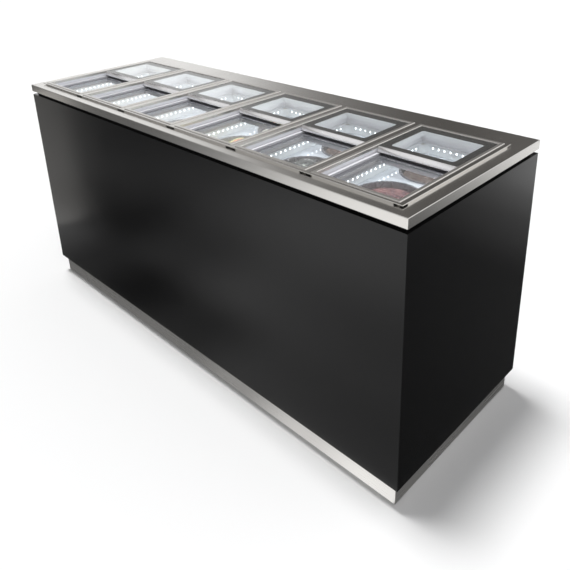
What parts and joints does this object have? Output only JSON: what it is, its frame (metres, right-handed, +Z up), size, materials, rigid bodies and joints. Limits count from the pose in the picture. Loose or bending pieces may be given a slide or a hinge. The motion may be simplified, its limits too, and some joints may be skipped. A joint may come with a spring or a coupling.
{
  "type": "ice cream display counter",
  "caption": "Free-standing chilled counter with round ice cream tubs let into a stainless deck under pairs of sliding glass lids, on a dark cabinet and a recessed plinth.",
  "frame": {"origin": "on the floor under the middle of the deck", "axes": "+X along the counter to the right as seen from the customer's side, +Y towards the operator's side, +Z up"},
  "size_m": [1.9, 0.668, 0.908],
  "materials": {
    "stainless": "brushed stainless sheet",
    "rim_metal": "satin anodised",
    "track": "grey moulded plastic",
    "lid_frame": "grey moulded plastic",
    "lid_glass": "clear polished",
    "pull_metal": "bright anodised",
    "light_strip": "clear cover over lamps",
    "well_white": "white gloss",
    "tub_steel": "satin stainless",
    "ice_cream": "frozen, matt",
    "cabinet": "charcoal satin",
    "shadow_black": "black matt",
    "foam_board": "cut foam",
    "frame_steel": "galvanised grey",
    "foot": "black moulded",
    "copper_pipe": "drawn copper",
    "compressor_black": "black enamel",
    "fin_metal": "mill",
    "shroud_black": "black satin",
    "motor_metal": "grey paint",
    "fan_plastic": "black moulded",
    "control_plastic": "black textured",
    "rocker_plastic": "red translucent",
    "screw_steel": "plain stainless"
  },
  "bodies": {
    "counter": {"top_deck": "stainless", "bay_surround": "stainless", "plinth": "stainless", "bay_rims": "rim_metal", "lid_tracks": "track", "led_strips": "light_strip", "well_liners": "well_white", "tub_plates": "well_white", "ice_cream_tubs": "tub_steel", "ice_cream_fills": "ice_cream", "front_panel": "cabinet", "left_panel": "cabinet", "right_panel": "cabinet", "rear_panel": "cabinet", "shadow_channel": "shadow_black", "insulation_boards": "foam_board", "chassis": "frame_steel", "levelling_feet": "foot", "evaporator_coils": "copper_pipe", "refrigerant_pipes": "copper_pipe", "compressor": "compressor_black", "condenser": "fin_metal", "fan_shroud": "shroud_black", "vent_grille": "shroud_black", "fan_motor": "motor_metal", "control_fascia": "control_plastic", "thermostat": "control_plastic", "panel_screws": "screw_steel"},
    "rear_lid_1": {"rear_lid_frame_1": "lid_frame", "rear_lid_glass_1": "lid_glass", "rear_lid_pull_1": "pull_metal"},
    "rear_lid_2": {"rear_lid_frame_2": "lid_frame", "rear_lid_glass_2": "lid_glass", "rear_lid_pull_2": "pull_metal"},
    "rear_lid_3": {"rear_lid_frame_3": "lid_frame", "rear_lid_glass_3": "lid_glass", "rear_lid_pull_3": "pull_metal"},
    "rear_lid_4": {"rear_lid_frame_4": "lid_frame", "rear_lid_glass_4": "lid_glass", "rear_lid_pull_4": "pull_metal"},
    "rear_lid_5": {"rear_lid_frame_5": "lid_frame", "rear_lid_glass_5": "lid_glass", "rear_lid_pull_5": "pull_metal"},
    "rear_lid_6": {"rear_lid_frame_6": "lid_frame", "rear_lid_glass_6": "lid_glass", "rear_lid_pull_6": "pull_metal"},
    "front_lid_1": {"front_lid_frame_1": "lid_frame", "front_lid_glass_1": "lid_glass"},
    "front_lid_2": {"front_lid_frame_2": "lid_frame", "front_lid_glass_2": "lid_glass"},
    "front_lid_3": {"front_lid_frame_3": "lid_frame", "front_lid_glass_3": "lid_glass"},
    "front_lid_4": {"front_lid_frame_4": "lid_frame", "front_lid_glass_4": "lid_glass"},
    "front_lid_5": {"front_lid_frame_5": "lid_frame", "front_lid_glass_5": "lid_glass"},
    "front_lid_6": {"front_lid_frame_6": "lid_frame", "front_lid_glass_6": "lid_glass"},
    "fan": {"fan_blades": "fan_plastic"},
    "rocker": {"power_rocker": "rocker_plastic"}
  },
  "joints": [
    {"name": "rear_lid_1_slide", "type": "slide", "parent": "counter", "child": "rear_lid_1", "axis": [0, -1, 0], "range_m": [0, 0.2545]},
    {"name": "rear_lid_2_slide", "type": "slide", "parent": "counter", "child": "rear_lid_2", "axis": [0, -1, 0], "range_m": [0, 0.2545]},
    {"name": "rear_lid_3_slide", "type": "slide", "parent": "counter", "child": "rear_lid_3", "axis": [0, -1, 0], "range_m": [0, 0.2545]},
    {"name": "rear_lid_4_slide", "type": "slide", "parent": "counter", "child": "rear_lid_4", "axis": [0, -1, 0], "range_m": [0, 0.2545]},
    {"name": "rear_lid_5_slide", "type": "slide", "parent": "counter", "child": "rear_lid_5", "axis": [0, -1, 0], "range_m": [0, 0.2545]},
    {"name": "rear_lid_6_slide", "type": "slide", "parent": "counter", "child": "rear_lid_6", "axis": [0, -1, 0], "range_m": [0, 0.2545]},
    {"name": "front_lid_1_slide", "type": "slide", "parent": "counter", "child": "front_lid_1", "axis": [0, 1, 0], "range_m": [0, 0.206]},
    {"name": "front_lid_2_slide", "type": "slide", "parent": "counter", "child": "front_lid_2", "axis": [0, 1, 0], "range_m": [0, 0.206]},
    {"name": "front_lid_3_slide", "type": "slide", "parent": "counter", "child": "front_lid_3", "axis": [0, 1, 0], "range_m": [0, 0.206]},
    {"name": "front_lid_4_slide", "type": "slide", "parent": "counter", "child": "front_lid_4", "axis": [0, 1, 0], "range_m": [0, 0.206]},
    {"name": "front_lid_5_slide", "type": "slide", "parent": "counter", "child": "front_lid_5", "axis": [0, 1, 0], "range_m": [0, 0.206]},
    {"name": "front_lid_6_slide", "type": "slide", "parent": "counter", "child": "front_lid_6", "axis": [0, 1, 0], "range_m": [0, 0.206]},
    {"name": "fan_spin", "type": "hinge", "parent": "counter", "child": "fan", "pos_m": [-0.38, 0.206, 0.216], "axis": [0, 1, 0], "continuous": true},
    {"name": "power_switch", "type": "hinge", "parent": "counter", "child": "rocker", "pos_m": [0.2, 0.316, 0.456], "axis": [1, 0, 0], "range_deg": [0, 16]}
  ]
}
